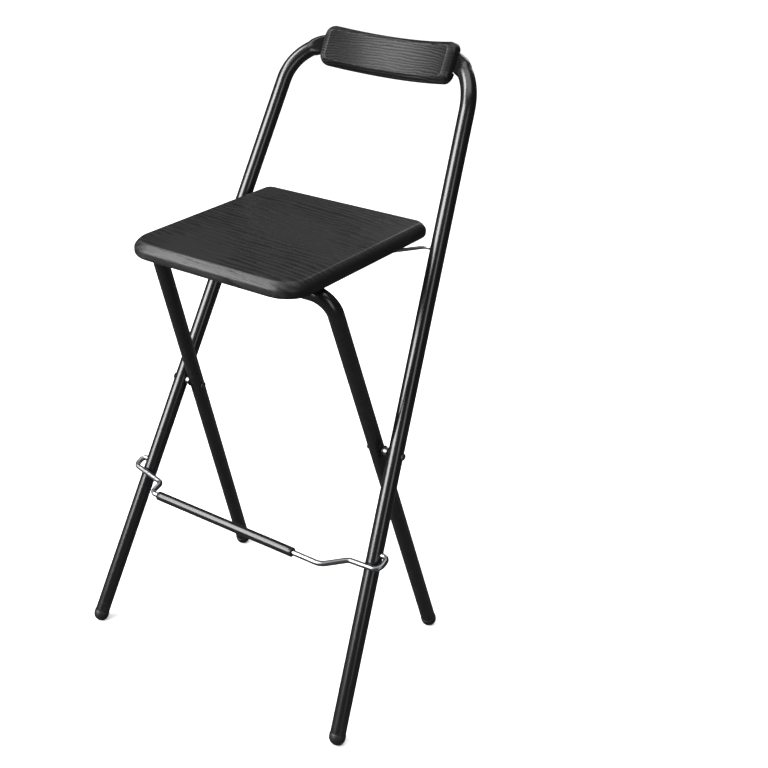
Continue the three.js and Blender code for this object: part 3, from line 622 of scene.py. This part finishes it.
def edgeProfile(size):
    profile = []
    for i in range(edgeSteps["front"] + 1):
        turn = math.pi / 2 * i / edgeSteps["front"]
        drop = size["lead"] * math.sin(turn) + (size["deep"] - size["lead"]) * (1 - math.cos(turn))
        profile.append((size["bevel"] * (1 - math.sin(turn)), drop))
    for i in range(edgeSteps["back"] + 1):
        turn = math.pi / 2 * i / edgeSteps["back"]
        drop = size["thick"] - size["backRound"] * (1 - math.sin(turn))
        profile.append((size["backRound"] * (1 - math.cos(turn)), drop))
    return profile + [(size["bevel"], size["thick"])]


def crowded(share):
    return -crowding * math.cos(math.pi * share) + (1 - crowding) * (2 * share - 1)


def boardMesh(name, size, place, material):
    countA, countB = size["steps"]
    middle = (size["low"] + size["high"]) / 2
    reach = (size["high"] - size["low"]) / 2 - size["bevel"]
    grid = []
    for i in range(countA + 1):
        along = middle + crowded(i / countA) * reach
        width = halfAcross(along, size)
        grid.append([(along, width * crowded(j / countB)) for j in range(countB + 1)])
    border = [(i, 0) for i in range(countA)] + [(countA, j) for j in range(countB)]
    border += [(i, countB) for i in range(countA, 0, -1)] + [(0, j) for j in range(countB, 0, -1)]
    bm = bmesh.new()
    sheets = []
    for depth in (0, size["thick"]):
        rows = [[bm.verts.new(place(along, across, depth)) for along, across in row] for row in grid]
        sheets.append(rows)
        for i in range(countA):
            for j in range(countB):
                bm.faces.new((rows[i][j], rows[i + 1][j], rows[i + 1][j + 1], rows[i][j + 1]))
    loops = [[sheets[0][i][j] for i, j in border]]
    for inset, depth in edgeProfile(size)[1:-1]:
        loop = []
        for i, j in border:
            along, across = grid[i][j]
            away = outward(along, across, size) * (size["bevel"] - inset)
            loop.append(bm.verts.new(place(along + away.x, across + away.y, depth)))
        loops.append(loop)
    loops.append([sheets[1][i][j] for i, j in border])
    for upper, lower in zip(loops, loops[1:]):
        for k in range(len(border)):
            m = (k + 1) % len(border)
            bm.faces.new((upper[k], lower[k], lower[m], upper[m]))
    return meshFrom(bm, name, material)


def cutAway(mesh, bm):  # the mesh without what the bmesh covers, under the same name
    name = mesh.name
    cutterMesh = bpy.data.meshes.new("cutter")
    bm.to_mesh(cutterMesh)
    bm.free()
    target = bpy.data.objects.new("target", mesh)
    cutter = bpy.data.objects.new("cutter", cutterMesh)
    for thing in (target, cutter):
        bpy.context.scene.collection.objects.link(thing)
    cut = target.modifiers.new("cut", "BOOLEAN")
    cut.operation = "DIFFERENCE"
    cut.object = cutter
    cut.solver = "EXACT"
    cut.use_self = True
    done = bpy.data.meshes.new_from_object(target.evaluated_get(bpy.context.evaluated_depsgraph_get()))
    for thing in (target, cutter):
        bpy.data.objects.remove(thing)
    for used in (mesh, cutterMesh):
        bpy.data.meshes.remove(used)
    done.set_sharp_from_angle(angle=sharpFrom)
    done.name = name
    return done


seatSize = {"low": -166.0, "high": 154.0, "half": 140.0, "lowCorner": 40.0, "highCorner": 18.0,
            "thick": 22.0, "bevel": 9.0, "deep": 11.0, "lead": 5.6, "backRound": 7.0,
            "steps": (120, 90), "top": 650.0}


def onSeat(along, across, depth):
    return Vector((across, along, seatSize["top"] - depth)) + cadShift


keepPiece(boardMesh("seatPanel", seatSize, onSeat, seatWood), "seat", "seat_board")

boardSize = {"mid": 926.5, "thick": 19.0, "halfChord": 111.7, "backRadius": 235.0, "half": 29.0,
             "lowCorner": 15.0, "highCorner": 15.0, "bevel": 7.5, "deep": 9.5, "lead": 4.5, "backRound": 2.5,
             "steps": (150, 40), "channelRoom": 0.4}
boardMidRadius = boardSize["backRadius"] - boardSize["thick"] / 2
boardSize["high"] = math.asin(boardSize["halfChord"] / boardSize["backRadius"]) * boardMidRadius
boardSize["low"] = -boardSize["high"]


def onBackrest(along, across, depth):
    radius = boardSize["backRadius"] - boardSize["thick"] + depth
    turn = along / boardMidRadius
    y = bowCentreY + radius * math.cos(turn)
    return backPlace @ Vector((radius * math.sin(turn), y, boardSize["mid"] + across))


def boardChannel():
    points = [p for p in backPath if p.z > backFrame["cornerUp"] - backFrame["bend"] / 2]
    front = stool["tube"] * backFrame["thinShare"] + boardSize["channelRoom"]
    half = stool["tube"] * backFrame["tallShare"] + boardSize["channelRoom"]
    bm = bmesh.new()
    rings = []
    for point, tangent in zip(points, tangents(points)):
        rearward = tangent.cross(Vector((0, 0, 1))).normalized()
        upward = rearward.cross(tangent)
        rings.append([point + rearward * away + upward * rise for away, rise in (
            (-front, -half), (boardSize["thick"], -half), (boardSize["thick"], half), (-front, half))])
    bridgeRings(bm, rings)
    bmesh.ops.recalc_face_normals(bm, faces=bm.faces)
    bm.transform(Matrix.Scale(mm, 4) @ backPlace)
    return bm


backrestMesh = cutAway(boardMesh("backrestPanel", boardSize, onBackrest, backWood), boardChannel())
keepPiece(backrestMesh, "back", "backrest_board")
print("boards made")


# Turned pieces: a profile of (radius, height) spun round an axis

def turnedMesh(name, profile, at, axis, material, sides=40, trim=None):
    bm = bmesh.new()
    turn = Vector((0, 0, 1)).rotation_difference(axis.normalized()).to_matrix()
    rings = []
    for radius, height in profile:
        ring = []
        for i in range(sides if radius > weld else 1):
            spot = Matrix.Rotation(2 * math.pi * i / sides, 3, "Z") @ Vector((radius, 0, height))
            ring.append(bm.verts.new(at + turn @ spot))
        rings.append(ring)
    for low, high in zip(rings, rings[1:]):
        for i in range(sides):
            j = (i + 1) % sides
            corners = (low[i % len(low)], low[j % len(low)], high[j % len(high)], high[i % len(high)])
            bm.faces.new(tuple(dict.fromkeys(corners)))  # each corner once
    if trim is not None:
        cutting = bmesh.ops.bisect_plane(bm, geom=bm.verts[:] + bm.edges[:] + bm.faces[:],
                                         plane_co=(0, 0, trim), plane_no=(0, 0, -1), clear_outer=True)
        rim = [edge for edge in cutting["geom_cut"] if isinstance(edge, bmesh.types.BMEdge)]
        bmesh.ops.contextual_create(bm, geom=rim)
    return meshFrom(bm, name, material)


bothSides = (("left", -1), ("right", 1))

# Foot caps, cut off flat at the floor

cap = {"radius": 11.6, "lip": 0.6, "rim": 5.0, "plug": 22.0, "bore": 9.5, "gap": 0.3, "steps": 16,
       "rimSpots": ((0.0, 1.2), (0.15, 0.5)), "plugBevel": 1.0, "sides": 48}


def capMesh(name, x, taper, place, side):
    profile = [(0, -cap["radius"])]
    for i in range(1, cap["steps"] + 1):
        turn = math.pi / 2 * i / cap["steps"]
        profile.append((cap["radius"] * math.sin(turn), -cap["radius"] * math.cos(turn)))
    profile += [(cap["radius"] - inset, cap["rim"] - drop) for inset, drop in cap["rimSpots"]]
    plug = cap["bore"] - cap["gap"]
    plugTop = cap["rim"] + cap["plug"]
    profile += [(cap["radius"] - cap["lip"], cap["rim"]), (plug, cap["rim"]),
                (plug, plugTop - cap["plugBevel"]), (plug - cap["plugBevel"], plugTop), (0, plugTop)]
    foot = place @ Vector((side * x, 0, 0))
    axis = place.to_3x3() @ Vector((-side * taper, 0, 1))
    return turnedMesh(name, profile, foot, axis, plastic, cap["sides"], trim=0)


for label, side in bothSides:
    for kind, body, foot, taper, place in (
            ("front", "back", stool["backFoot"], stool["backTaper"], backPlace),
            ("rear", "rear_legs", stool["seatFoot"], stool["seatTaper"], seatPlace)):
        mesh = capMesh(f"{kind}Cap_{label}", foot[0], taper, place, side)
        keepPiece(mesh, body, f"{kind}_foot_cap_{label}")

# Pivots

pivot = {"shank": 3.7, "head": 5.2, "headHeight": 2.6, "headSteps": 8, "neck": 0.3, "spacer": 6.0,
         "washer": 7.4, "washerThick": 1.0, "gap": 0.3, "round": 0.35, "roundSteps": 3}
pivotSpot = backPlace @ Vector((0, 0, stool["pivotUp"]))
outerX = backLegX(stool["pivotUp"])
innerX = seatLegX(stool["pivotUpSeat"])
headTilt = pivot["head"] * stool["backTaper"] + pivot["gap"]
outFace = outerX + stool["tube"] + headTilt
inFace = innerX - stool["tube"] - headTilt
washerNear = innerX + stool["tube"] + pivot["washer"] * stool["seatTaper"] + pivot["gap"]
washerFar = washerNear + pivot["washerThick"]
spacerNear = washerFar + pivot["gap"]
spacerFar = outerX - stool["tube"] - pivot["spacer"] * stool["backTaper"] - pivot["gap"]


def rivetHead(base, upward):
    rise = upward * pivot["headHeight"]
    head = []
    for i in range(pivot["headSteps"]):
        turn = math.pi / 2 * i / pivot["headSteps"]
        head.append((pivot["head"] * math.cos(turn), base + rise * math.sin(turn)))
    return head + [(0, base + rise)]


def ringProfile(radius, near, far):  # a ring round the shank, its corners rounded a little
    bore = pivot["shank"] + pivot["gap"]
    corners = [Vector(spot) for spot in ((bore, near), (radius, near), (radius, far), (bore, far))]
    profile = []
    for before, corner, after in zip(corners[-1:] + corners, corners, corners[1:] + corners[:1]):
        start = corner + (before - corner).normalized() * pivot["round"]
        end = corner + (after - corner).normalized() * pivot["round"]
        for i in range(pivot["roundSteps"] + 1):
            share = i / pivot["roundSteps"]
            profile.append(tuple(start.lerp(corner, share).lerp(corner.lerp(end, share), share)))
    return profile + [(bore, near)]


neck = pivot["head"] - pivot["neck"]
rivetProfile = list(reversed(rivetHead(inFace, -1)))
rivetProfile += [(neck, inFace), (pivot["shank"], inFace), (pivot["shank"], outFace), (neck, outFace)]
rivetProfile += rivetHead(outFace, 1)
spacerProfile = ringProfile(pivot["spacer"], spacerNear, spacerFar)
washerProfile = ringProfile(pivot["washer"], washerNear, washerFar)
for label, side in bothSides:
    for kind, profile, material, slot in (("rivet", rivetProfile, blackZinc, "zinc"),
                                          ("spacer", spacerProfile, dullZinc, "zinc"),
                                          ("washer", washerProfile, plastic, "black_plastic")):
        mesh = turnedMesh(f"{kind}_{label}", profile, pivotSpot, Vector((side, 0, 0)), material)
        keepPiece(mesh, "back", f"pivot_{kind}_{label}")

# Footrest sleeve

sleeve = {"radius": 6.9, "bore": 4.3, "length": 246.0, "offset": -25.0, "round": 0.8, "steps": 40,
          "roundSpots": ((0.8, 0.0), (0.25, 0.2))}
sleeveFrom = sleeve["offset"] - sleeve["length"] / 2
sleeveTo = sleeveFrom + sleeve["length"]
sleeveStart = sleeveFrom + sleeve["round"]
sleeveSide = sleeve["length"] - 2 * sleeve["round"]
sleeveProfile = [(sleeve["bore"], sleeveFrom)]
sleeveProfile += [(sleeve["radius"] - inset, sleeveFrom + along) for inset, along in sleeve["roundSpots"]]
for i in range(sleeve["steps"] + 1):
    sleeveProfile.append((sleeve["radius"], sleeveStart + sleeveSide * i / sleeve["steps"]))
for inset, along in reversed(sleeve["roundSpots"]):
    sleeveProfile.append((sleeve["radius"] - inset, sleeveTo - along))
sleeveProfile += [(sleeve["bore"], sleeveTo), (sleeve["bore"], sleeveFrom)]
barRight = onFootrest(*footrest["right"][-1][:2])
barLeft = onFootrest(-footrest["left"][0][0], footrest["left"][0][1])
barAxis = (barRight - barLeft).normalized()
barMiddle = barLeft + barAxis * (-barLeft.x / barAxis.x)
mesh = turnedMesh("footrestSleeve", sleeveProfile, barMiddle, barAxis, glossPlastic)
keepPiece(mesh, "footrest", "footrest_sleeve")
print("caps and pivots made")

# Saddle clips under the seat

seatUnder = seatSize["top"] - seatSize["thick"]
clip = {"room": 0.5, "gap": 0.3, "footBend": 1.5, "bendSpots": ((0.4, 0.3), (0.0, 1.4)), "archSteps": 24,
        "endInset": 1.2, "edge": 0.25}


def clipMesh(name, centre, size):
    thick = size["thick"]
    inner = size["bar"] + clip["room"]
    outer = inner + thick
    mid = (inner + outer) / 2
    flat = seatUnder - clip["gap"] - centre.z - thick / 2
    foot = [(outer + size["flange"], flat), (outer + clip["footBend"], flat)]
    foot += [(mid + out, flat - drop) for out, drop in clip["bendSpots"]]
    turns = [math.pi * i / clip["archSteps"] for i in range(clip["archSteps"] + 1)]
    arch = [(-mid * math.cos(turn), -mid * math.sin(turn)) for turn in turns]
    line = [(-y, z) for y, z in foot] + arch + foot[::-1]
    edge = clip["edge"]
    inside = 1 - edge * 2 / thick
    bm = bmesh.new()
    rings = []
    for i, (y, z) in enumerate(line):
        before = Vector(line[max(i - 1, 0)])
        after = Vector(line[min(i + 1, len(line) - 1)])
        along = (after - before).normalized()
        off = Vector((-along.y, along.x)) * thick / 2
        half = size["width"] / 2 - (clip["endInset"] if i in (0, len(line) - 1) else 0)
        section = [(-half + edge, 1), (half - edge, 1), (half, inside), (half, -inside),
                   (half - edge, -1), (-half + edge, -1), (-half, -inside), (-half, inside)]
        rings.append([centre + Vector((x, y + off.x * n, z + off.y * n)) for x, n in section])
    bridgeRings(bm, rings)
    return meshFrom(bm, name, dullZinc)


clipSizes = {
    "hinge": {"x": 78.0, "y": stool["hinge"][0], "z": stool["hinge"][1], "bar": stool["tube"], "thick": 1.6,
              "flange": 15.0, "width": 20.0},
    "link": {"x": 58.0, "y": stool["linkSeat"][0], "z": stool["linkSeat"][1], "bar": linkWire["radius"],
             "thick": 1.2, "flange": 10.0, "width": 13.0},
}
screw = {"head": 4.2, "headHeight": 2.4, "headSteps": 6, "headPower": 0.7, "shank": 1.9, "tipShare": 0.4,
         "pointShare": 2.0, "bite": 13.0, "gap": 0.3, "sides": 28, "arm": (4.4, 0.9, 2.2), "armAbove": 0.5}
boardScrew = {"aside": 60.0, "headOut": 7.0, "bite": 26.3}


def screwMesh(name, spot, axis, bite):  # a pan head with a cross recess, its shank along the axis
    shank = screw["shank"]
    base = -screw["gap"]
    profile = [(0, bite), (shank * screw["tipShare"], bite), (shank, bite - shank * screw["pointShare"]),
               (shank, base), (screw["head"], base)]
    for i in range(1, screw["headSteps"]):
        turn = math.pi / 2 * i / screw["headSteps"]
        radius = screw["head"] * math.cos(turn) ** screw["headPower"]
        profile.append((radius, base - screw["headHeight"] * math.sin(turn)))
    profile.append((0, base - screw["headHeight"]))
    bm = bmesh.new()
    for quarter in range(2):
        arm = bmesh.ops.create_cube(bm, size=1.0)["verts"]
        bmesh.ops.scale(bm, vec=screw["arm"], verts=arm)
        bmesh.ops.rotate(bm, cent=(0, 0, 0), matrix=Matrix.Rotation(math.pi / 2 * quarter, 3, "Z"), verts=arm)
    lift = base - screw["headHeight"] - screw["armAbove"] + screw["arm"][2] / 2
    bmesh.ops.translate(bm, vec=(0, 0, lift), verts=bm.verts)
    turn = Vector((0, 0, 1)).rotation_difference(axis.normalized()).to_matrix().to_4x4()
    bm.transform(Matrix.Translation(spot) @ turn)
    bm.transform(Matrix.Scale(mm, 4))
    return cutAway(turnedMesh(name, profile, spot, axis, zinc, screw["sides"]), bm)


for kind, size in clipSizes.items():
    for label, side in bothSides:
        centre = Vector((side * size["x"], size["y"], size["z"])) + cadShift
        keepPiece(clipMesh(f"{kind}Clip_{label}", centre, size), "seat", f"{kind}_clip_{label}")
        for end, way in (("front", -1), ("rear", 1)):
            out = size["bar"] + clip["room"] + size["thick"] + size["flange"] / 2
            spot = centre + Vector((0, way * out, 0))
            spot.z = seatUnder - clip["gap"] - size["thick"]
            cadNode = f"{kind}_clip_screw_{label}_{end}"
            mesh = screwMesh(f"screw_{cadNode}", spot, Vector((0, 0, 1)), screw["bite"])
            keepPiece(mesh, "seat", cadNode)

screwTurn = math.asin(boardScrew["aside"] / backFrame["bowRadius"])


def onBoardScrew(side, outward):
    reach = backFrame["bowRadius"] + outward
    y = bowCentreY + reach * math.cos(screwTurn)
    return backPlace @ Vector((side * reach * math.sin(screwTurn), y, backFrame["cornerUp"]))


for label, side in bothSides:
    spot = onBoardScrew(side, boardScrew["headOut"])
    axis = onBoardScrew(side, 0) - spot
    mesh = screwMesh(f"boardScrew_{label}", spot, axis, boardScrew["bite"])
    keepPiece(mesh, "back", f"backrest_screw_{label}")
print("clips and screws made")

# Camera at the photo's view

view = {"place": (944.28, -1292.17, 1206.53), "turn": 38.67, "down": 24.47, "focal": 1255.29,
        "middle": (229.99, 345.0), "side": 768, "sensor": 36, "farthest": 100}
camera = bpy.data.objects.new("camera", bpy.data.cameras.new("camera"))
bpy.context.scene.collection.objects.link(camera)
camera.location = (Vector(view["place"]) + cadShift) * mm
camera.rotation_euler = (math.radians(90 - view["down"]), 0, math.radians(view["turn"]))
camera.data.sensor_width = view["sensor"]
camera.data.lens = view["focal"] / view["side"] * view["sensor"]
camera.data.shift_x = (view["side"] / 2 - view["middle"][0]) / view["side"]
camera.data.shift_y = (view["middle"][1] - view["side"] / 2) / view["side"]
camera.data.clip_end = view["farthest"]
bpy.context.scene.camera = camera

# Pale floor and studio light

studio = {"floor": 0.98, "floorElsewhere": 0.05, "roughness": 0.85, "halfSide": 12, "fill": 1.0,
          "gloss": 0.04}

floorMaterial, tree, shader = newMaterial("paleFloor")
seen = node(tree, "ShaderNodeLightPath", (-600, 0)).outputs["Is Camera Ray"]
paper = mixColour(tree, (-300, 0), seen, (studio["floorElsewhere"],) * 3, (studio["floor"],) * 3)
feed(tree, shader, {"Base Color": paper, "Roughness": studio["roughness"], "Specular IOR Level": 0.0})
bm = bmesh.new()
bmesh.ops.create_grid(bm, x_segments=2, y_segments=2, size=studio["halfSide"])
floorMesh = bpy.data.meshes.new("floor")
bm.to_mesh(floorMesh)
bm.free()
floorMesh.materials.append(floorMaterial)
floor = bpy.data.objects.new("floor", floorMesh)
bpy.context.scene.collection.objects.link(floor)

world = bpy.data.worlds.new("studio")
bpy.context.scene.world = world
world.use_nodes = True
tree = world.node_tree
path = node(tree, "ShaderNodeLightPath", (-900, 0)).outputs
inGloss = remap(tree, (-600, 100), path["Is Glossy Ray"], toLow=studio["fill"], toHigh=studio["gloss"])
strength = node(tree, "ShaderNodeMix", (-300, 0), {"Factor": path["Is Camera Ray"], "A": inGloss, "B": 1.0})
feed(tree, tree.nodes["Background"], {"Color": (1, 1, 1), "Strength": strength.outputs["Result"]})

lamps = {
    "key": {"place": (-1.43, -2.38, 1.72), "aim": (0, 0, 0.45), "size": (1.9, 2.2), "power": 170},
    "softRight": {"place": (2.43, -1.58, 1.38), "aim": (0, 0, 0.45), "size": (0.7, 2.0), "power": 12},
    "upperLeft": {"place": (-1.67, -0.96, 2.9), "aim": (0, 0, 0.5), "size": (1.2, 1.2), "power": 60},
    "overhead": {"place": (0.2, -0.2, 3.4), "aim": (0, 0, 0.4), "size": (2.4, 2.4), "power": 40},
    "behind": {"place": (-0.5, 2.9, 2.0), "aim": (0, 0, 0.5), "size": (1.2, 2.0), "power": 18},
}
for name, size in lamps.items():
    lamp = bpy.data.objects.new(name, bpy.data.lights.new(name, "AREA"))
    lamp.data.shape = "RECTANGLE"
    lamp.data.size, lamp.data.size_y = size["size"]
    lamp.data.energy = size["power"]
    lamp.location = size["place"]
    lamp.rotation_euler = (Vector(size["aim"]) - lamp.location).to_track_quat("-Z", "Y").to_euler()
    bpy.context.scene.collection.objects.link(lamp)

bpy.context.scene.view_settings.view_transform = "Standard"

print("scene ready")
